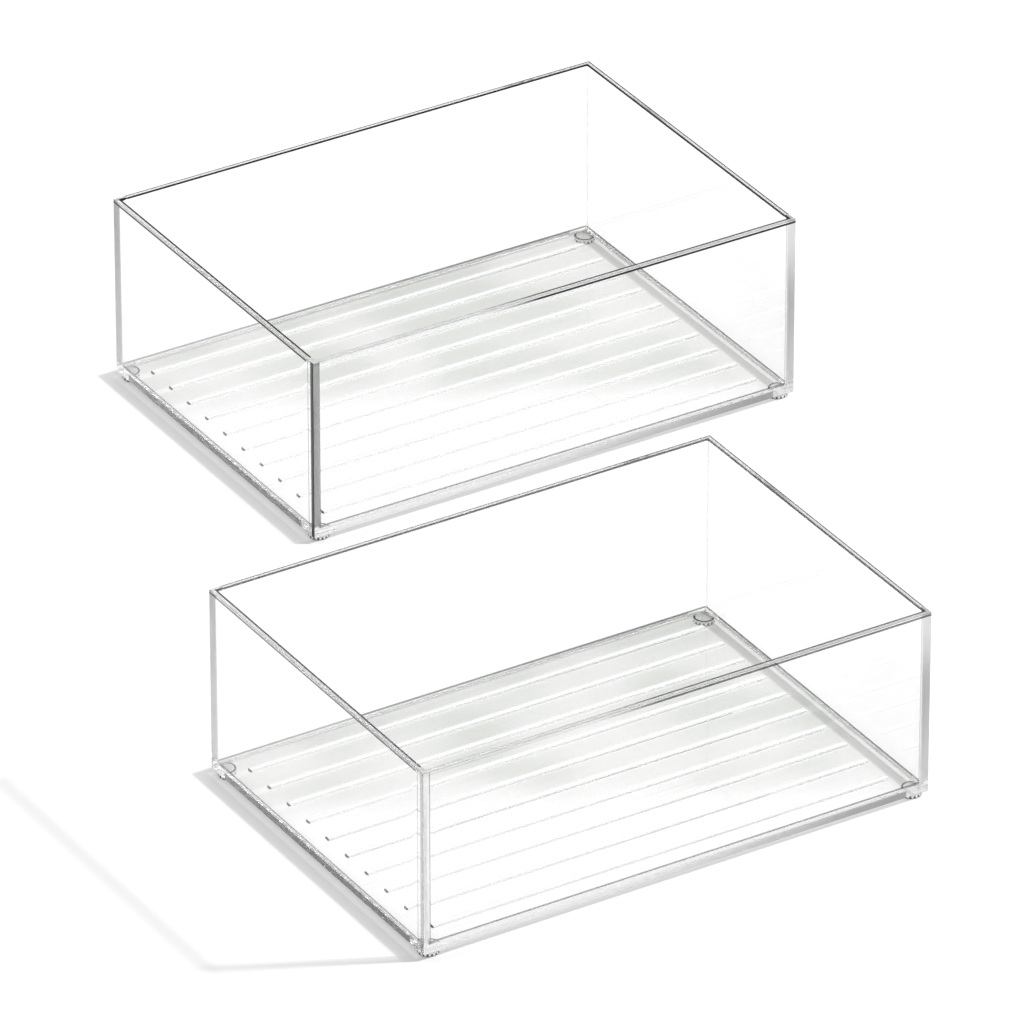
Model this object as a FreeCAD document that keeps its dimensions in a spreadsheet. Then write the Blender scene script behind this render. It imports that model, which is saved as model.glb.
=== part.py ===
import FreeCAD, Part
import Sketcher
import os

# A pair of clear, open-topped storage boxes that stand side by side and are used as a holder for brushes
# and small bottles.  Each box is one moulding: four upright walls, a flat floor and raised ribs that keep
# what lies in it off the floor.  Four clear round pads are stuck under the corners of each box.
#
# Millimetres.  +X runs along the long side of the boxes, +Y from the front box to the rear box, +Z up.
# The origin is on the surface that the pads stand on, midway between the two boxes.

doc = FreeCAD.newDocument("StorageBoxes")

# name, value, what it is
SIZES = [
    ("box_length", 280.0, "outside, along X"),
    ("box_width", 196.0, "outside, along Y"),
    ("wall_height", 99.0, "underside of the floor to the rim"),
    ("wall_thickness", 3.2, "all four walls"),
    ("floor_thickness", 3.3, "between the ribs"),
    ("outer_corner_radius", 0.6, "upright outside corners"),
    ("inner_corner_radius", 1.2, "upright inside corners"),
    ("floor_fillet", 1.8, "inside, where the walls meet the floor"),
    ("rim_rounding", 0.5, "both edges of the rim"),
    ("base_rounding", 0.5, "outside edge of the underside"),
    ("rib_width", 3.5, "across a rib"),
    ("rib_rise", 1.0, "rib top above the floor"),
    ("rib_pitch", 18.0, "from rib to rib"),
    ("rib_corner_radius", 1.0, "rib ends, seen from above"),
    ("rib_rounding", 0.4, "top edges of a rib"),
    ("rib_end_gap", 9.8, "rib end to the wall"),
    ("rib_side_gap", 10.0, "least room between the last rib and the wall"),
    ("foot_diameter", 11.0, "across a round foot pad"),
    ("foot_height", 3.0, "surface to the underside of the box"),
    ("foot_rounding", 0.9, "lower edge of a foot pad"),
    ("foot_inset", 0.1, "edge of the flat underside to the foot pad"),
    ("pair_shift", 151.6, "rear box further along X than the front box"),
    ("pair_spacing", 355.4, "rear box further along Y than the front box"),
]

sheet = doc.addObject("Spreadsheet::Sheet", "Sizes")
for row, (name, value, note) in enumerate(SIZES, start=1):
    sheet.set("A%d" % row, name)
    sheet.set("B%d" % row, str(value))
    sheet.set("C%d" % row, note)
    sheet.setAlias("B%d" % row, name)
doc.recompute()

# Sizes that follow from the driving ones, as expressions.
INNER_LENGTH = "(Sizes.box_length - 2 * Sizes.wall_thickness)"
INNER_WIDTH = "(Sizes.box_width - 2 * Sizes.wall_thickness)"
RIB_LENGTH = "(%s - 2 * Sizes.rib_end_gap)" % INNER_LENGTH
RIB_SPAN = "(%s - Sizes.rib_width - 2 * Sizes.rib_side_gap)" % INNER_WIDTH
RIB_STEPS = "floor(%s / Sizes.rib_pitch)" % RIB_SPAN
FOOT_MARGIN = "(Sizes.foot_diameter / 2 + Sizes.base_rounding + Sizes.foot_inset)"
FOOT_X = "(Sizes.box_length / 2 - %s)" % FOOT_MARGIN
FOOT_Y = "(Sizes.box_width / 2 - %s)" % FOOT_MARGIN

BOXES = [("front", -1), ("rear", 1)]
CORNERS = [("front_left", -1, -1), ("front_right", 1, -1), ("rear_left", -1, 1), ("rear_right", 1, 1)]

SAME = 1e-4          # coordinates closer than this, in mm, are the same


def originItem(body, role):
    """A plane or an axis of the body's own origin."""
    return next(item for item in body.Origin.OriginFeatures if item.Role == role)


def rectangleSketch(body, name, length, width, level="0", middle="0"):
    """A rectangle on the body's X axis, at a level above its origin, with its middle at that Y."""
    sketch = body.newObject("Sketcher::SketchObject", name)
    sketch.AttachmentSupport = [(originItem(body, "XY_Plane"), "")]
    sketch.MapMode = "FlatFace"
    sketch.setExpression("AttachmentOffset.Base.z", level)
    half = 10.0
    ends = [(-half, -half), (half, -half), (half, half), (-half, half)]
    for start, end in zip(ends, ends[1:] + ends[:1]):
        sketch.addGeometry(Part.LineSegment(FreeCAD.Vector(*start), FreeCAD.Vector(*end)), False)
    bottom, right, top, left = range(4)
    first, second = 1, 2
    for line, following in ((bottom, right), (right, top), (top, left), (left, bottom)):
        sketch.addConstraint(Sketcher.Constraint("Coincident", line, second, following, first))
    for line in (bottom, top):
        sketch.addConstraint(Sketcher.Constraint("Horizontal", line))
    for line in (right, left):
        sketch.addConstraint(Sketcher.Constraint("Vertical", line))
    origin = -1
    sizes = [
        ("length", Sketcher.Constraint("DistanceX", bottom, first, bottom, second, 2 * half), length),
        ("width", Sketcher.Constraint("DistanceY", right, first, right, second, 2 * half), width),
        ("left", Sketcher.Constraint("DistanceX", bottom, first, origin, first, half), "%s / 2" % length),
        ("near", Sketcher.Constraint("DistanceY", bottom, first, origin, first, half),
         "%s / 2 - %s" % (width, middle)),
    ]
    for label, constraint, expression in sizes:
        index = sketch.addConstraint(constraint)
        sketch.renameConstraint(index, label)
        sketch.setExpression("Constraints." + label, expression)
    return sketch


def circleSketch(body, name, diameter):
    """A circle about the body's own origin, on its lowest level."""
    sketch = body.newObject("Sketcher::SketchObject", name)
    sketch.AttachmentSupport = [(originItem(body, "XY_Plane"), "")]
    sketch.MapMode = "FlatFace"
    across = 10.0
    sketch.addGeometry(Part.Circle(FreeCAD.Vector(0, 0, 0), FreeCAD.Vector(0, 0, 1), across / 2), False)
    circle, centre, origin, point = 0, 3, -1, 1
    sketch.addConstraint(Sketcher.Constraint("Coincident", circle, centre, origin, point))
    index = sketch.addConstraint(Sketcher.Constraint("Diameter", circle, across))
    sketch.renameConstraint(index, "diameter")
    sketch.setExpression("Constraints.diameter", diameter)
    return sketch


def raised(body, name, sketch, length):
    """A sketch raised into a solid."""
    feature = body.newObject("PartDesign::Pad", name)
    feature.Profile = sketch
    feature.setExpression("Length", length)
    doc.recompute()
    return feature


def rounded(body, name, base, wanted, radius):
    """Rounds the edges of base that wanted picks out by their box of corners."""
    edges = [
        "Edge%d" % number
        for number, edge in enumerate(base.Shape.Edges, start=1)
        if wanted(edge.BoundBox)
    ]
    feature = body.newObject("PartDesign::Fillet", name)
    feature.Base = (base, edges)
    feature.setExpression("Radius", radius)
    doc.recompute()
    return feature


def upright(box):
    return box.XLength < SAME and box.YLength < SAME


def atLevel(box, level):
    return box.ZLength < SAME and abs(box.ZMin - level) < SAME


def hollow(body, walls):
    """Cuts the inside out of the block, down to the floor."""
    sketch = rectangleSketch(body, "InsideOutline", INNER_LENGTH, INNER_WIDTH, "Sizes.floor_thickness")
    inside = body.newObject("PartDesign::Pocket", "Inside")
    inside.Profile = sketch
    inside.Reversed = True
    inside.setExpression("Length", "Sizes.wall_height - Sizes.floor_thickness")
    before = walls.Shape.Volume
    doc.recompute()
    if inside.Shape.Volume > 0.5 * before:
        raise RuntimeError(body.Label + ": the inside was not cut")
    return inside


def floorRibs(body):
    """A row of low ribs along X, as many as fit between the long walls."""
    first = "(-%s * Sizes.rib_pitch / 2)" % RIB_STEPS
    sketch = rectangleSketch(body, "RibOutline", RIB_LENGTH, "Sizes.rib_width",
                             "Sizes.floor_thickness", first)
    rib = raised(body, "Rib", sketch, "Sizes.rib_rise")
    row = body.newObject("PartDesign::LinearPattern", "Ribs")
    row.Originals = [rib]
    row.Direction = (originItem(body, "Y_Axis"), [""])
    row.Mode = "Spacing"
    row.setExpression("Offset", "Sizes.rib_pitch")
    row.setExpression("Occurrences", RIB_STEPS + " + 1")
    body.Tip = row
    doc.recompute()
    floor = sheet.floor_thickness
    top = floor + sheet.rib_rise
    ends = rounded(body, "RibEnds", row, lambda box: upright(box) and abs(box.ZMin - floor) < SAME
                   and abs(box.ZMax - top) < SAME, "Sizes.rib_corner_radius")
    rounded(body, "RibCrowns", ends, lambda box: atLevel(box, top), "Sizes.rib_rounding")


def storageBox(label, side):
    """One box as it comes out of its mould.  Its own origin is under the middle of its floor."""
    body = doc.addObject("PartDesign::Body", label)
    body.Label = label
    outline = rectangleSketch(body, "Outline", "Sizes.box_length", "Sizes.box_width")
    block = raised(body, "Block", outline, "Sizes.wall_height")
    block = rounded(body, "OuterCorners", block, upright, "Sizes.outer_corner_radius")
    shell = hollow(body, block)
    inner = sheet.box_length / 2 - sheet.wall_thickness
    shell = rounded(body, "InnerCorners", shell, lambda box: upright(box)
                    and abs(abs(box.XMin) - inner) < SAME, "Sizes.inner_corner_radius")
    shell = rounded(body, "FloorFillet", shell,
                    lambda box: atLevel(box, sheet.floor_thickness), "Sizes.floor_fillet")
    shell = rounded(body, "Rim", shell, lambda box: atLevel(box, sheet.wall_height), "Sizes.rim_rounding")
    rounded(body, "Base", shell, lambda box: atLevel(box, 0), "Sizes.base_rounding")
    floorRibs(body)
    body.setExpression("Placement.Base.x", "%d * Sizes.pair_shift / 2" % side)
    body.setExpression("Placement.Base.y", "%d * Sizes.pair_spacing / 2" % side)
    body.setExpression("Placement.Base.z", "Sizes.foot_height")
    return body


def footPad(label, side, across, along):
    """A clear round pad under one corner of a box: across and along say which corner."""
    body = doc.addObject("PartDesign::Body", label)
    body.Label = label
    outline = circleSketch(body, "Outline", "Sizes.foot_diameter")
    block = raised(body, "Block", outline, "Sizes.foot_height")
    rounded(body, "Sole", block, lambda box: atLevel(box, 0), "Sizes.foot_rounding")
    body.setExpression("Placement.Base.x", "%d * Sizes.pair_shift / 2 + %d * %s" % (side, across, FOOT_X))
    body.setExpression("Placement.Base.y", "%d * Sizes.pair_spacing / 2 + %d * %s" % (side, along, FOOT_Y))
    return body


nodes = []
for name, side in BOXES:
    nodes.append(storageBox(name + "_box", side))
    for corner, across, along in CORNERS:
        nodes.append(footPad("%s_box_foot_%s" % (name, corner), side, across, along))
doc.recompute()

for item in doc.Objects:
    if "Invalid" in item.State or "Error" in item.State:
        raise RuntimeError("%s: %s" % (item.Label, item.State))
for node in nodes:
    if node.Shape.isNull() or not node.Shape.isValid() or len(node.Shape.Solids) != 1:
        raise RuntimeError(node.Label + ": its shape is not one valid solid")

os.makedirs("parts", exist_ok=True)
for node in nodes:
    node.Shape.exportStep("parts/%s.step" % node.Label)
    print("%-32s %10.1f mm3" % (node.Label, node.Shape.Volume))
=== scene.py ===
import math
import bpy
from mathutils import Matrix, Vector


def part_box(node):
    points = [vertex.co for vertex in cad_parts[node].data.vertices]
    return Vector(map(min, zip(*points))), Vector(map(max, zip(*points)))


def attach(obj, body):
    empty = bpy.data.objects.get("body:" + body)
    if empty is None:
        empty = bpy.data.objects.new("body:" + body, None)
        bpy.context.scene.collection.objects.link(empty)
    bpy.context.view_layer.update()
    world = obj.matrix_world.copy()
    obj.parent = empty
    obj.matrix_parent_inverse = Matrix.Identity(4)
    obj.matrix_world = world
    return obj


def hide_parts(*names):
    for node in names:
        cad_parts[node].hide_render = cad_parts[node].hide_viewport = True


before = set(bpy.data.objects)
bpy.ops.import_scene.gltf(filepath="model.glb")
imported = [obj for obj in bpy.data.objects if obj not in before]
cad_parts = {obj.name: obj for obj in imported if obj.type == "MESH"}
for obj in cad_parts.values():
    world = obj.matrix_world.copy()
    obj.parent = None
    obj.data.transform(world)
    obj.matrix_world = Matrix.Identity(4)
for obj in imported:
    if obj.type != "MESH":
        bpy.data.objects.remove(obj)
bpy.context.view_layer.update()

boxNames = ["front", "rear"]
cornerNames = ["front_left", "front_right", "rear_left", "rear_right"]


def newMaterial(name):
    made = bpy.data.materials.new(name)
    made.use_nodes = True
    tree = made.node_tree
    return made, tree, tree.nodes["Principled BSDF"], tree.nodes["Material Output"]


def mathNode(tree, operation, *values):
    node = tree.nodes.new("ShaderNodeMath")
    node.operation = operation
    for place, value in enumerate(values):
        if isinstance(value, (int, float)):
            node.inputs[place].default_value = value
        else:
            tree.links.new(value, node.inputs[place])
    return node.outputs[0]


def product(tree, *values):
    result = values[0]
    for value in values[1:]:
        result = mathNode(tree, "MULTIPLY", result, value)
    return result


def largest(tree, *values):
    result = values[0]
    for value in values[1:]:
        result = mathNode(tree, "MAXIMUM", result, value)
    return result


def difference(tree, first, second):
    return mathNode(tree, "SUBTRACT", first, second)


def below(tree, value, limit):
    return mathNode(tree, "LESS_THAN", value, limit)


def above(tree, value, limit):
    return mathNode(tree, "GREATER_THAN", value, limit)


def fade(tree, value, start, end, first=1.0, last=0.0):
    # goes smoothly from first to last while value goes from start to end
    node = tree.nodes.new("ShaderNodeMapRange")
    node.interpolation_type = "SMOOTHSTEP"
    if end < start:
        start, end, first, last = end, start, last, first
    limits = {"From Min": start, "From Max": end, "To Min": first, "To Max": last}
    for name, setting in limits.items():
        node.inputs[name].default_value = setting
    tree.links.new(value, node.inputs["Value"])
    return node.outputs[0]


def within(tree, value, limit, softness):
    # 1 up to the limit, 0 past it
    return fade(tree, value, limit, limit + softness)


def nearLine(tree, distance, width, softness):
    return within(tree, mathNode(tree, "ABSOLUTE", distance), width, softness)


def tone(tree, mask, dark):
    # 1 outside the mask, dark inside it
    return mathNode(tree, "MULTIPLY_ADD", mask, dark - 1, 1.0)


def noise(tree, point, scale, detail):
    node = tree.nodes.new("ShaderNodeTexNoise")
    node.inputs["Scale"].default_value = scale
    node.inputs["Detail"].default_value = detail
    tree.links.new(point, node.inputs["Vector"])
    return node.outputs["Fac"]


def mixShaders(tree, share, first, second):
    mix = tree.nodes.new("ShaderNodeMixShader")
    for place, value in enumerate((share, first, second)):
        tree.links.new(value, mix.inputs[place])
    return mix.outputs[0]


def raiseSurface(tree, shader, height):
    # height in metres
    bump = tree.nodes.new("ShaderNodeBump")
    bump.inputs["Strength"].default_value = 1
    bump.inputs["Distance"].default_value = 1
    tree.links.new(height, bump.inputs["Height"])
    tree.links.new(bump.outputs["Normal"], shader.inputs["Normal"])


# where the camera stands: turned from +Y towards +X, and up from the table, in degrees
cameraSet = {
    "turn": 31.46,
    "height": 30.33,
    "distance": 5.876,
    "lens": 421.9,
    "sensor": 36,
    "sees": (0.1, 40),
    "aim": (0.0088, 0.0128, 0.0295),
}


def setUpCamera():
    turn, height = math.radians(cameraSet["turn"]), math.radians(cameraSet["height"])
    level = math.cos(height)
    back = Vector((-math.sin(turn) * level, -math.cos(turn) * level, math.sin(height)))
    lensData = bpy.data.cameras.new("camera")
    lensData.lens = cameraSet["lens"]
    lensData.sensor_width = cameraSet["sensor"]
    lensData.clip_start, lensData.clip_end = cameraSet["sees"]
    camera = bpy.data.objects.new("camera", lensData)
    bpy.context.collection.objects.link(camera)
    camera.location = Vector(cameraSet["aim"]) + back * cameraSet["distance"]
    camera.rotation_euler = (-back).to_track_quat("-Z", "Y").to_euler()
    bpy.context.scene.camera = camera
    print("camera set")


studio = {
    "floorSize": 12.0,
    "floorColour": (1.0, 1.0, 1.0),
    "floorGlow": 0.12,          # share of the seen floor that no shadow darkens
    "skyStrength": 0.665,       # what the room lights the table with
    "backdropSteps": [(0.0, 1.0), (0.12, 1.0), (0.45, 0.98), (0.65, 0.8), (1.0, 0.5)],
    "nearSide": 0.7,            # how bright the room behind the camera is beside the backdrop
    "sideBlend": 0.3,           # how gently the one goes over into the other
    "keySize": (0.33, 0.33),
    "keyPower": 246.0,
    "keyAt": (3.68, -2.17, 4.40),
}


def setUpTable():
    bpy.ops.object.select_all(action="DESELECT")
    bpy.ops.mesh.primitive_plane_add(size=studio["floorSize"], location=(0, 0, 0))
    table = bpy.context.object
    table.name = "tableTop"
    surface, tree, shader, out = newMaterial("tablePaper")
    shader.inputs["Base Color"].default_value = (*studio["floorColour"], 1)
    shader.inputs["Roughness"].default_value = 1
    shader.inputs["Specular IOR Level"].default_value = 0
    glow = tree.nodes.new("ShaderNodeEmission")
    glow.inputs["Color"].default_value = (*studio["floorColour"], 1)
    path = tree.nodes.new("ShaderNodeLightPath")
    seen = largest(tree, path.outputs["Is Glossy Ray"], path.outputs["Is Transmission Ray"],
                   path.outputs["Is Camera Ray"])
    share = product(tree, seen, studio["floorGlow"])
    paper = mixShaders(tree, share, shader.outputs[0], glow.outputs[0])
    tree.links.new(paper, out.inputs["Surface"])
    table.data.materials.append(surface)
    print("table set")


def setUpRoom():
    # the room lights the table, the plastic mirrors a white backdrop,
    # and the camera sees plain white
    world = bpy.data.worlds.new("studio")
    bpy.context.scene.world = world
    world.use_nodes = True
    tree = world.node_tree
    room = tree.nodes["Background"]
    room.inputs["Strength"].default_value = studio["skyStrength"]
    room.inputs["Color"].default_value = (1, 1, 1, 1)
    place = tree.nodes.new("ShaderNodeTexCoord")
    split = tree.nodes.new("ShaderNodeSeparateXYZ")
    tree.links.new(place.outputs["Generated"], split.inputs[0])

    ramp = tree.nodes.new("ShaderNodeValToRGB")
    steps = studio["backdropSteps"]
    while len(ramp.color_ramp.elements) < len(steps):
        ramp.color_ramp.elements.new(0.5)
    for element, (at, level) in zip(ramp.color_ramp.elements, steps):
        element.position = at
        element.color = (level, level, level, 1)
    tree.links.new(split.outputs["Z"], ramp.inputs[0])

    turn = math.radians(cameraSet["turn"])
    towards = tree.nodes.new("ShaderNodeVectorMath")
    towards.operation = "DOT_PRODUCT"
    towards.inputs[1].default_value = (math.sin(turn), math.cos(turn), 0)
    tree.links.new(place.outputs["Generated"], towards.inputs[0])
    side = tree.nodes.new("ShaderNodeMapRange")
    side.inputs["From Min"].default_value = -studio["sideBlend"]
    side.inputs["From Max"].default_value = studio["sideBlend"]
    side.inputs["To Min"].default_value = studio["nearSide"]
    tree.links.new(towards.outputs["Value"], side.inputs["Value"])

    backdrop = tree.nodes.new("ShaderNodeBackground")
    tree.links.new(ramp.outputs[0], backdrop.inputs["Color"])
    tree.links.new(side.outputs[0], backdrop.inputs["Strength"])
    white = tree.nodes.new("ShaderNodeBackground")
    white.inputs["Color"].default_value = (1, 1, 1, 1)
    path = tree.nodes.new("ShaderNodeLightPath")
    mirrored = largest(tree, path.outputs["Is Glossy Ray"], path.outputs["Is Transmission Ray"])
    around = mixShaders(tree, mirrored, room.outputs[0], backdrop.outputs[0])
    tree.links.new(mixShaders(tree, path.outputs["Is Camera Ray"], around, white.outputs[0]),
                   tree.nodes["World Output"].inputs["Surface"])
    print("room set")


def setUpKeyLamp():
    lamp = bpy.data.lights.new("softbox", "AREA")
    lamp.shape = "RECTANGLE"
    lamp.size, lamp.size_y = studio["keySize"]
    lamp.energy = studio["keyPower"]
    softbox = bpy.data.objects.new("softbox", lamp)
    bpy.context.collection.objects.link(softbox)
    softbox.location = studio["keyAt"]
    softbox.rotation_euler = (-Vector(studio["keyAt"])).to_track_quat("-Z", "Y").to_euler()
    print("key lamp set")


# the moulding's own sizes in metres, and how near a face a point counts as on it
shell = {
    "wall": 0.0032,
    "floor": 0.0033,
    "floorFillet": 0.0018,
    "ribPitch": 0.018,
    "ribEndGap": 0.0098,
    "onFace": 0.0001,
    "onOuterFace": 0.0002,
    "onOuterEdge": 0.0006,      # with the rounded edges
}


def boxPlace(tree, boxName):
    # where a point is on its box, in metres
    low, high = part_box(boxName + "_box")
    middle, half = (low + high) / 2, (high - low) / 2
    place = tree.nodes.new("ShaderNodeTexCoord")
    split = tree.nodes.new("ShaderNodeSeparateXYZ")
    tree.links.new(place.outputs["Object"], split.inputs[0])
    along = difference(tree, split.outputs["X"], middle.x)
    across = difference(tree, split.outputs["Y"], middle.y)
    fromEnd = difference(tree, half.x, mathNode(tree, "ABSOLUTE", along))
    fromSide = difference(tree, half.y, mathNode(tree, "ABSOLUTE", across))
    inwards = mathNode(tree, "MINIMUM", fromEnd, fromSide)
    left, near = below(tree, along, 0.0), below(tree, across, 0.0)
    return {
        "point": place.outputs["Object"],
        "along": along,
        "across": across,
        "fromEnd": fromEnd,
        "fromSide": fromSide,
        "inwards": inwards,
        "fromInner": difference(tree, shell["wall"], inwards),
        "fromCorner": largest(tree, fromEnd, fromSide),
        "up": difference(tree, split.outputs["Z"], low.z),
        "underRim": difference(tree, high.z, split.outputs["Z"]),
        "left": left,
        "right": difference(tree, 1.0, left),
        "near": near,
        "far": difference(tree, 1.0, near),
        "inLeftWall": below(tree, along, shell["wall"] * 2 - half.x),
        "inNearWall": below(tree, across, shell["wall"] * 2 - half.y),
        "fromLeftEnd": mathNode(tree, "ADD", along, half.x),
        "fromRightEnd": difference(tree, half.x, along),
        "onEnd": below(tree, fromEnd, shell["onOuterFace"]),
        "onSide": below(tree, fromSide, shell["onOuterFace"]),
        "outside": below(tree, inwards, shell["onOuterEdge"]),
    }


# how far up a normal points, from none on an upright face to 1 on a flat one
leanFade = {
    "upright": (0.1, 0.2),
    "flat": (0.97, 0.995),
}


def turnedEdges(tree):
    # 1 where a face turns over between flat and upright, 0 on flat faces and round upright corners
    form = tree.nodes.new("ShaderNodeNewGeometry")
    split = tree.nodes.new("ShaderNodeSeparateXYZ")
    tree.links.new(form.outputs["True Normal"], split.inputs[0])
    lean = mathNode(tree, "ABSOLUTE", split.outputs["Z"])
    notUpright = fade(tree, lean, *leanFade["upright"], 0.0, 1.0)
    notFlat = fade(tree, lean, *leanFade["flat"])
    return product(tree, notUpright, notFlat)


def atFace(tree, distance):
    return nearLine(tree, distance, shell["onFace"], shell["onFace"])


def overFloor(tree, spot):
    return above(tree, spot["up"], shell["floor"] + shell["floorFillet"])


# painted shade: dark lines painted along the rim, standing in for where the plastic turns the
# room's light away
paintedRimShade = {
    "dark": {"front": 0.04, "rear": 0.0},
    "fade": 0.00015,
    "paleFade": (-0.05, -0.01),     # the near side's line pales towards its left end
    "paleShare": 0.75,
}

# how far in from the rim's outer edge the painted shade lines go, from and to how far down its
# side, how far from its inner edge and down that side, and the haze between them
rimSizes = {
    "leftAndNear": {"outer": (0.00035, 0.0007, 0.0019), "inner": (0.00120, 0.0004), "haze": 0.85},
    "rightAndFar": {"outer": (0.00095, -0.0001, 0.0004), "inner": (0.00080, 0.0006), "haze": 0.10},
}


def rimPair(tree, spot, sizes):
    (outerIn, outerFrom, outerDown), (innerIn, innerDown) = sizes["outer"], sizes["inner"]
    outer = product(tree, within(tree, spot["inwards"], outerIn, paintedRimShade["fade"]),
                    above(tree, spot["underRim"], outerFrom),
                    below(tree, spot["underRim"], outerDown))
    inner = product(tree, nearLine(tree, spot["fromInner"], innerIn, paintedRimShade["fade"]),
                    below(tree, spot["underRim"], innerDown))
    return largest(tree, outer, inner)


def rimLines(tree, spot):
    # a mask of the painted shade lines, and the haze of the flat top
    leftOrNear = largest(tree, spot["inLeftWall"], spot["inNearWall"])
    walls = {"leftAndNear": leftOrNear, "rightAndFar": difference(tree, 1.0, leftOrNear)}
    lines = [product(tree, walls[name], rimPair(tree, spot, sizes))
             for name, sizes in rimSizes.items()]
    hazes = [product(tree, walls[name], sizes["haze"]) for name, sizes in rimSizes.items()]
    pale = product(tree, spot["inNearWall"], fade(tree, spot["along"], *paintedRimShade["paleFade"]))
    onTop = below(tree, spot["underRim"], shell["onFace"])
    rim = product(tree, largest(tree, *lines), tone(tree, pale, 1 - paintedRimShade["paleShare"]))
    return rim, product(tree, onTop, largest(tree, *hazes))


# painted shade bands on the outer faces, standing in for the ends of the walls and the edge of the
# floor seen through them
paintedShadeBands = {
    "left": {"width": 0.0064, "front": 0.58, "rear": 0.42},
    "near": {"width": 0.0034, "front": 1.00, "rear": 0.20},
    "right": {"width": 0.0055, "front": 0.74, "rear": 0.72},
    "start": 0.0058,                # how far above the base the bands start
    "startFade": 0.001,
    "fade": 0.0006,
    "haze": 0.30,
    "footHeight": 0.0037,
    "endFootShade": {"front": 0.10, "rear": 0.14},
    "sideFootShade": (0.95, 0.24),   # towards the left end, towards the right end
    "sideFootFade": (-0.05, 0.12),
    "overPads": 0.0122,             # the edge of the floor stays pale above the pads
    "padHaze": 0.06,
}

# painted dark lines beside the bands: from where to where, measured from the corner
paintedBandLines = {
    "farEdge": {"from": -0.0001, "to": 0.0006, "front": 0.42, "rear": 0.35},
    "nearEdge": {"from": -0.0001, "to": 0.0026, "front": 0.30, "rear": 0.0},
    "nearFaint": {"from": 0.0047, "to": 0.0054, "front": 0.35, "rear": 0.20},
    "nearInner": {"from": 0.0033, "to": 0.0038, "front": 0.20, "rear": 0.40},
    "rightInner": {"from": 0.0054, "to": 0.0058, "front": 0.45, "rear": 0.50},
}


def cornerBands(tree, spot):
    # masks of the upright painted shade bands and of the painted dark lines beside them
    start = paintedShadeBands["start"]
    overFoot = fade(tree, spot["up"], start, start + paintedShadeBands["startFade"], 0.0, 1.0)
    nearEnd = product(tree, spot["onEnd"], spot["left"], spot["near"])
    farEnd = product(tree, spot["onEnd"], spot["left"], spot["far"], overFoot)
    sideLeft = product(tree, spot["onSide"], spot["left"], spot["near"], overFoot)
    sideRight = product(tree, spot["onSide"], spot["right"], spot["near"], overFoot)
    places = {
        "left": (farEnd, spot["fromSide"]),
        "near": (sideLeft, spot["fromEnd"]),
        "right": (sideRight, spot["fromEnd"]),
    }
    linePlaces = {
        "farEdge": places["left"],
        "nearEdge": (nearEnd, spot["fromSide"]),
        "nearFaint": (product(tree, nearEnd, overFoot), spot["fromSide"]),
        "nearInner": places["near"],
        "rightInner": places["right"],
    }
    bands, lines = {}, {}
    for name, (face, distance) in places.items():
        band = within(tree, distance, paintedShadeBands[name]["width"], paintedShadeBands["fade"])
        bands[name] = product(tree, face, band)
    for name, (face, distance) in linePlaces.items():
        lines[name] = product(tree, face, above(tree, distance, paintedBandLines[name]["from"]),
                              below(tree, distance, paintedBandLines[name]["to"]))
    return bands, lines


def footEdge(tree, spot):
    # masks of the floor's edge between the pads, which is painted darker as shade, and of the pale
    # places over them
    edge = product(tree, spot["outside"],
                   within(tree, spot["up"], paintedShadeBands["footHeight"], paintedShadeBands["fade"]))
    overPads = product(tree, spot["outside"],
                       within(tree, spot["fromCorner"], paintedShadeBands["overPads"], paintedShadeBands["fade"]),
                       within(tree, spot["up"], paintedShadeBands["start"], paintedShadeBands["startFade"]))
    return product(tree, edge, difference(tree, 1.0, overPads)), overPads


# painted shadow on the floor: soft and patchy between the ribs behind a slanted line across the
# floor, and beside the right end wall
floorPaintedShade = {
    "colour": (0.50, 0.525, 0.48),
    "slant": 0.51,
    "offset": 0.020,
    "softness": 0.026,
    "ribEdge": -0.3,
    "onRibs": 0.35,
    "cloudScale": 13.0,
    "cloudDetail": 1,
    "cloudFade": (0.35, 0.6),
    "cloudLeast": 0.60,
    "edgeStart": 0.003,
    "edgeWidth": 0.020,
    "edgeShare": 0.8,
}


def floorShade(tree, spot):
    flat = atFace(tree, difference(tree, spot["up"], shell["floor"]))
    slanted = mathNode(tree, "MULTIPLY_ADD", spot["along"], floorPaintedShade["slant"], spot["across"])
    reach = fade(tree, slanted, -floorPaintedShade["offset"] - floorPaintedShade["softness"],
                 -floorPaintedShade["offset"] + floorPaintedShade["softness"], 0.0, 1.0)
    wave = mathNode(tree, "COSINE", product(tree, spot["across"], 2 * math.pi / shell["ribPitch"]))
    between = fade(tree, wave, -1.0, floorPaintedShade["ribEdge"], floorPaintedShade["onRibs"], 1.0)
    cloud = noise(tree, spot["point"], floorPaintedShade["cloudScale"], floorPaintedShade["cloudDetail"])
    patchy = fade(tree, cloud, *floorPaintedShade["cloudFade"], floorPaintedShade["cloudLeast"], 1.0)
    toEnd = fade(tree, spot["fromRightEnd"], shell["wall"] + floorPaintedShade["edgeStart"],
                 shell["wall"] + floorPaintedShade["edgeWidth"])
    besideEnd = product(tree, toEnd, floorPaintedShade["edgeShare"])
    return product(tree, flat, largest(tree, product(tree, reach, between, patchy), besideEnd))


# painted reflection of the floor: a soft darker tone on the inner face of the right end wall,
# strongest low down near the front
wallPaintedReflection = {
    "least": 0.80,
    "across": (-0.09, 0.06),
    "underRim": (0.002, 0.050),
}


def paintedWallReflection(tree, spot):
    innerEnd = atFace(tree, difference(tree, spot["fromEnd"], shell["wall"]))
    return product(tree, innerEnd, spot["right"], overFloor(tree, spot),
                   fade(tree, spot["across"], *wallPaintedReflection["across"]),
                   fade(tree, spot["underRim"], *wallPaintedReflection["underRim"], 0.0, 1.0))


# painted shade: dark ends and slightly darker, hazy sides of the ribs
paintedRibShade = {
    "fromFillet": 0.001,
    "endLength": 0.00065,
    "endHeight": 0.0012,
    "endTone": 0.0,
    "sideTone": 0.98,
    "sideHaze": 0.30,
}


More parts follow.
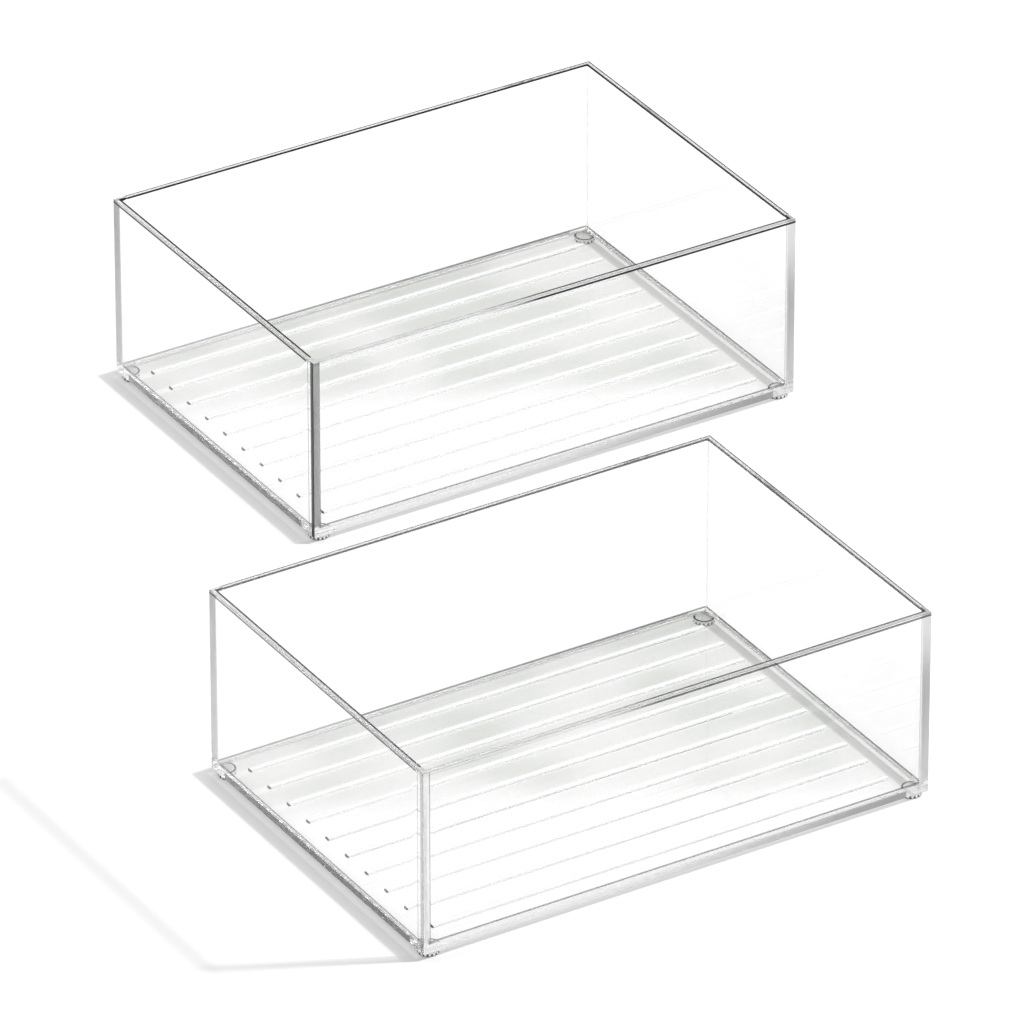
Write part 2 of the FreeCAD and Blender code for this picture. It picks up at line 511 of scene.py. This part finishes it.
def ribPlaces(tree, spot):
    # masks of the ribs, and of their left ends
    ribsFrom = shell["wall"] + shell["floorFillet"] + paintedRibShade["fromFillet"]
    endsTo = shell["wall"] + shell["ribEndGap"] + paintedRibShade["endLength"]
    onRib = product(tree, above(tree, spot["inwards"], ribsFrom),
                    above(tree, spot["up"], shell["floor"] + shell["onFace"]))
    ends = product(tree, onRib, below(tree, spot["up"], shell["floor"] + paintedRibShade["endHeight"]),
                   below(tree, spot["fromLeftEnd"], endsTo))
    return onRib, ends


# painted shade: dark outlines of the rounded edges, and of the line where the fillet meets the wall
paintedEdgeShade = {
    "rim": 0.5,
    "rimReach": 0.001,
    "base": 0.25,
    "baseReach": 0.0008,
    "joint": 0.12,
    "jointHeight": 0.0004,
    "jointDepth": 0.0002,
    "jointFade": 0.0002,
}


def filletLine(tree, spot):
    fromFillet = difference(tree, spot["up"], shell["floor"] + shell["floorFillet"])
    return product(tree, nearLine(tree, fromFillet, paintedEdgeShade["jointHeight"], paintedEdgeShade["jointFade"]),
                   nearLine(tree, spot["fromInner"], paintedEdgeShade["jointDepth"], paintedEdgeShade["jointFade"]))


surfaceDetail = {
    "scratchScale": 90.0,
    "scratchDetail": 6,
    "scratchStretch": (1, 1, 9),
    "scratchWidth": 0.006,
    "scratchHaze": 0.05,
    "waveScale": 16.0,
    "waveDetail": 1,
    "waveHeight": 0.00002,
    "cornerSwell": 0.00035,     # the walls thicken towards the near upright corner
    "cornerSwellReach": 0.013,
}


def finishSurface(tree, shader, spot, haze):
    # hairline scratches in the gloss, and walls that are never quite flat
    stretch = tree.nodes.new("ShaderNodeMapping")
    stretch.inputs["Scale"].default_value = surfaceDetail["scratchStretch"]
    tree.links.new(spot["point"], stretch.inputs["Vector"])
    scratch = noise(tree, stretch.outputs[0], surfaceDetail["scratchScale"],
                    surfaceDetail["scratchDetail"])
    hairline = nearLine(tree, difference(tree, scratch, 0.5), 0.0, surfaceDetail["scratchWidth"])
    tree.links.new(mathNode(tree, "MULTIPLY_ADD", hairline, surfaceDetail["scratchHaze"], haze),
                   shader.inputs["Roughness"])
    wave = noise(tree, spot["point"], surfaceDetail["waveScale"], surfaceDetail["waveDetail"])
    waves = product(tree, wave, surfaceDetail["waveHeight"])
    toCorner = within(tree, spot["fromCorner"], 0.0, surfaceDetail["cornerSwellReach"])
    swell = product(tree, toCorner, toCorner, overFloor(tree, spot), spot["left"], spot["near"])
    height = mathNode(tree, "MULTIPLY_ADD", swell, surfaceDetail["cornerSwell"], waves)
    raiseSurface(tree, shader, height)


# what the plastic lets through to the table, and where it turns the lamps' light away
lampShade = {
    "clear": 0.985,
    "leftRim": {"front": 0.45, "rear": 1.0},
    "leftRimDepth": 0.0035,
    "otherRim": 0.88,
    "nearCorner": {"front": 0.42, "rear": 0.95},
    "nearCornerWidth": 0.0066,
    "foot": 0.20,
    "footHeight": 0.0052,
    "underLeft": 0.42,
    "underReach": 0.0050,
    "fade": 0.0026,
}


def lampTint(tree, spot, rim, boxName):
    leftRim = product(tree, spot["inLeftWall"],
                      below(tree, spot["underRim"], lampShade["leftRimDepth"]))
    nearCorner = product(tree, spot["outside"], spot["inLeftWall"],
                         below(tree, spot["fromCorner"], lampShade["nearCornerWidth"]),
                         spot["near"])
    foot = product(tree, spot["outside"],
                   within(tree, spot["up"], lampShade["footHeight"], lampShade["fade"]))
    underLeft = product(
        tree, below(tree, spot["up"], shell["onFace"]),
        within(tree, spot["fromLeftEnd"], lampShade["underReach"], lampShade["fade"]))
    return product(
        tree,
        tone(tree, leftRim, lampShade["leftRim"][boxName]),
        lampShade["clear"],
        tone(tree, rim, lampShade["otherRim"]),
        tone(tree, nearCorner, lampShade["nearCorner"][boxName]),
        tone(tree, foot, lampShade["foot"]),
        tone(tree, underLeft, lampShade["underLeft"]))


def letLampsThrough(tree, shader, colour, out):
    lampSide = tree.nodes.new("ShaderNodeBsdfTransparent")
    if isinstance(colour, float):
        lampSide.inputs["Color"].default_value = (colour, colour, colour, 1)
    else:
        tree.links.new(colour, lampSide.inputs["Color"])
    path = tree.nodes.new("ShaderNodeLightPath")
    lamps = largest(tree, path.outputs["Is Shadow Ray"], path.outputs["Is Diffuse Ray"])
    surface = mixShaders(tree, lamps, shader.outputs[0], lampSide.outputs[0])
    tree.links.new(surface, out.inputs["Surface"])


clearPlastic = {
    "ior": 1.49,
    "absorb": 4.0,
    "absorbColour": (0.83, 0.84, 0.835),
}


def colourPlastic(tree, shader, tint, shade):
    # the painted floor shadow mixes the colour towards the shade colour, and the painted shade tint
    # scales it
    floorColour = tree.nodes.new("ShaderNodeMix")
    floorColour.data_type = "RGBA"
    floorColour.inputs["A"].default_value = (1, 1, 1, 1)
    floorColour.inputs["B"].default_value = (*floorPaintedShade["colour"], 1)
    tree.links.new(shade, floorColour.inputs["Factor"])
    scaled = tree.nodes.new("ShaderNodeVectorMath")
    scaled.operation = "SCALE"
    tree.links.new(floorColour.outputs["Result"], scaled.inputs[0])
    tree.links.new(tint, scaled.inputs["Scale"])
    tree.links.new(scaled.outputs[0], shader.inputs["Base Color"])


def clearShellMaterial(boxName):
    made, tree, shader, out = newMaterial(boxName + "ClearPlastic")
    spot = boxPlace(tree, boxName)
    rim, rimHaze = rimLines(tree, spot)
    bands, lines = cornerBands(tree, spot)
    foot, overPads = footEdge(tree, spot)
    onRib, ribEnds = ribPlaces(tree, spot)
    turned = turnedEdges(tree)
    # painted dark outlines on the rim's and base's rounded edges, and painted shade on the rib
    # sides
    rimEdge = product(tree, turned, below(tree, spot["underRim"], paintedEdgeShade["rimReach"]),
                      spot["outside"])
    baseEdge = product(tree, turned, below(tree, spot["up"], paintedEdgeShade["baseReach"]))
    ribSide = product(tree, turned, onRib)
    # painted shade on the near side's floor edge, darker towards the right end
    sideFoot = fade(tree, spot["along"], *paintedShadeBands["sideFootFade"], *paintedShadeBands["sideFootShade"])
    sideFootTint = mathNode(tree, "MULTIPLY_ADD", product(tree, foot, spot["onSide"]),
                            difference(tree, sideFoot, 1.0), 1.0)

    # the colour carries painted shade: rim lines, wall reflection, edge outlines, rib marks, floor
    # edge and corner bands
    tint = product(
        tree,
        tone(tree, rim, paintedRimShade["dark"][boxName]),
        tone(tree, paintedWallReflection(tree, spot), wallPaintedReflection["least"]),
        tone(tree, rimEdge, paintedEdgeShade["rim"]),
        tone(tree, baseEdge, paintedEdgeShade["base"]),
        tone(tree, ribSide, paintedRibShade["sideTone"]),
        tone(tree, ribEnds, paintedRibShade["endTone"]),
        tone(tree, filletLine(tree, spot), paintedEdgeShade["joint"]),
        tone(tree, product(tree, foot, spot["onEnd"]), paintedShadeBands["endFootShade"][boxName]),
        sideFootTint,
        *[tone(tree, band, paintedShadeBands[name][boxName]) for name, band in bands.items()],
        *[tone(tree, line, paintedBandLines[name][boxName]) for name, line in lines.items()])
    haze = largest(
        tree,
        product(tree, largest(tree, foot, *bands.values()), paintedShadeBands["haze"]),
        product(tree, overPads, paintedShadeBands["padHaze"]),
        rimHaze,
        product(tree, ribSide, paintedRibShade["sideHaze"]))

    colourPlastic(tree, shader, tint, floorShade(tree, spot))
    finishSurface(tree, shader, spot, haze)
    shader.inputs["IOR"].default_value = clearPlastic["ior"]
    shader.inputs["Transmission Weight"].default_value = 1
    letLampsThrough(tree, shader, lampTint(tree, spot, rim, boxName), out)
    absorb = tree.nodes.new("ShaderNodeVolumeAbsorption")
    absorb.inputs["Color"].default_value = (*clearPlastic["absorbColour"], 1)
    absorb.inputs["Density"].default_value = clearPlastic["absorb"]
    tree.links.new(absorb.outputs[0], out.inputs["Volume"])
    return made


def dressBoxes():
    for boxName in boxNames:
        material = clearShellMaterial(boxName)
        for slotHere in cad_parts[boxName + "_box"].material_slots:
            slotHere.material = material
        print(boxName + " box dressed")


footPads = {
    "sides": 64,
    "fluteSides": 4,            # sides to a flute
    "fluteDepth": 0.00022,
    "soleRadius": 0.0009,
    "soleSegments": 5,
    "clear": 0.00003,           # kept free above the table and under the box
    "smoothUpTo": 40,           # degrees
    "ior": 1.42,
    "clearness": 0.20,          # the rest of the soft plastic is milky
    # painted shade on the pad: its outline, its flute valleys and a ring round its flat top
    "outlineShade": 0.10,
    "fluteShade": 0.08,
    "fluteFade": (0.45, 0.6),
    "fluteTop": 0.0019,
    "ringWidth": 0.00095,       # dark line round the flat top
    "ringShade": 0.0,
    "top": 0.0029,
    "lampShare": 0.93,
    "cloudScale": 420.0,
    "cloudDetail": 3,
    "cloudTone": -0.06,
    "cloudHaze": 0.10,
    "cloudHeight": 0.00001,
}


def readAttribute(tree, name):
    node = tree.nodes.new("ShaderNodeAttribute")
    node.attribute_name = name
    return node.outputs["Fac"]


def footPadMaterial():
    made, tree, shader, out = newMaterial("clearFootPad")
    place = tree.nodes.new("ShaderNodeTexCoord")
    split = tree.nodes.new("ShaderNodeSeparateXYZ")
    tree.links.new(place.outputs["Object"], split.inputs[0])
    height = split.outputs["Z"]
    cloud = noise(tree, place.outputs["Object"], footPads["cloudScale"], footPads["cloudDetail"])
    inFlute = fade(tree, readAttribute(tree, "flute"), *footPads["fluteFade"], 0.0, 1.0)
    valley = product(tree, inFlute, below(tree, height, footPads["fluteTop"]))
    ring = product(tree, above(tree, readAttribute(tree, "topRing"), 0.5),
                   above(tree, height, footPads["top"]))
    # painted shade and a random cloudy tone in the pad's colour
    tint = product(
        tree,
        tone(tree, turnedEdges(tree), footPads["outlineShade"]),
        tone(tree, valley, footPads["fluteShade"]),
        tone(tree, ring, footPads["ringShade"]),
        mathNode(tree, "MULTIPLY_ADD", cloud, footPads["cloudTone"], 1.0))
    tree.links.new(tint, shader.inputs["Base Color"])
    tree.links.new(product(tree, cloud, footPads["cloudHaze"]), shader.inputs["Roughness"])
    raiseSurface(tree, shader, product(tree, cloud, footPads["cloudHeight"]))
    shader.inputs["IOR"].default_value = footPads["ior"]
    shader.inputs["Transmission Weight"].default_value = footPads["clearness"]
    letLampsThrough(tree, shader, footPads["lampShare"], out)
    return made


def selectVertices(mesh, wanted):
    bpy.ops.object.mode_set(mode="EDIT")
    bpy.ops.mesh.select_mode(type="VERT")
    bpy.ops.mesh.select_all(action="DESELECT")
    bpy.ops.object.mode_set(mode="OBJECT")
    for vertex in mesh.vertices:
        vertex.select = wanted(vertex.co)
    bpy.ops.object.mode_set(mode="EDIT")


def padMiddle(node):
    low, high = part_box(node)
    return (low + high) / 2


def shapeFootPad(node, material):
    # one pad in its place: a disc with shallow flutes round its side and a rounded sole
    low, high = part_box(node)
    middle, radius = padMiddle(node), (high.x - low.x) / 2
    thickness = high.z - low.z - 2 * footPads["clear"]
    bpy.ops.object.select_all(action="DESELECT")
    bpy.ops.mesh.primitive_cylinder_add(
        vertices=footPads["sides"], radius=radius, depth=thickness, location=middle)
    pad = bpy.context.object
    bpy.ops.object.transform_apply(location=True, rotation=False, scale=False)

    def flute(co):
        # 0 on the ridge between two flutes, 1 at the bottom of one
        turn = math.atan2(co.x - middle.x, co.y - middle.y) / (2 * math.pi)
        half = footPads["fluteSides"] / 2
        return 1 - abs(round(turn * footPads["sides"]) % footPads["fluteSides"] - half) / half

    for depth in (0.5, 1.0):
        selectVertices(pad.data, lambda co: flute(co) == depth)
        share = 1 - footPads["fluteDepth"] * depth / radius
        bpy.ops.transform.resize(value=(share, share, 1), center_override=middle)
    selectVertices(pad.data, lambda co: co.z < middle.z)
    bpy.ops.mesh.bevel(offset=footPads["soleRadius"], segments=footPads["soleSegments"],
                       profile=0.5, affect="EDGES")
    selectVertices(pad.data, lambda co: co.z > middle.z)
    bpy.ops.mesh.inset(thickness=2 * footPads["ringWidth"])
    bpy.ops.object.mode_set(mode="OBJECT")

    flutes = pad.data.attributes.new("flute", "FLOAT", "POINT")
    rings = pad.data.attributes.new("topRing", "FLOAT", "POINT")
    ringFrom = radius - footPads["ringWidth"]
    for vertex, fluteHere, ringHere in zip(pad.data.vertices, flutes.data, rings.data):
        fromMiddle = (vertex.co - middle).xy.length
        fluteHere.value = flute(vertex.co)
        ringHere.value = float(vertex.co.z > middle.z and fromMiddle > ringFrom)
    bpy.ops.object.shade_smooth_by_angle(angle=math.radians(footPads["smoothUpTo"]))
    pad.data.materials.append(material)
    return pad


def copyFootPad(pad, move):
    bpy.ops.object.select_all(action="DESELECT")
    pad.select_set(True)
    bpy.context.view_layer.objects.active = pad
    bpy.ops.object.duplicate(linked=False)
    copy = bpy.context.object
    bpy.ops.transform.translate(value=move)
    bpy.ops.object.transform_apply(location=True, rotation=False, scale=False)
    return copy


def makeFootPads():
    nodes = ["%s_box_foot_%s" % (boxName, corner) for boxName in boxNames for corner in cornerNames]
    first = shapeFootPad(nodes[0], footPadMaterial())
    moves = [padMiddle(node) - padMiddle(nodes[0]) for node in nodes[1:]]
    pads = [first] + [copyFootPad(first, move) for move in moves]
    for node, pad in zip(nodes, pads):
        pad.name = node + "_pad"
        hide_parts(node)
        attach(pad, node.split("_foot_")[0] + "_body")
    print("foot pads made")


setUpCamera()
setUpTable()
setUpRoom()
setUpKeyLamp()
dressBoxes()
makeFootPads()

lightPaths = {
    "bounces": 128,             # light goes a long way inside the clear walls
    "seeThrough": 32,
}
cycles = bpy.context.scene.cycles
cycles.max_bounces = lightPaths["bounces"]
cycles.transmission_bounces = lightPaths["bounces"]
cycles.glossy_bounces = lightPaths["bounces"]
cycles.transparent_max_bounces = lightPaths["seeThrough"]
bpy.context.scene.view_settings.view_transform = "Standard"
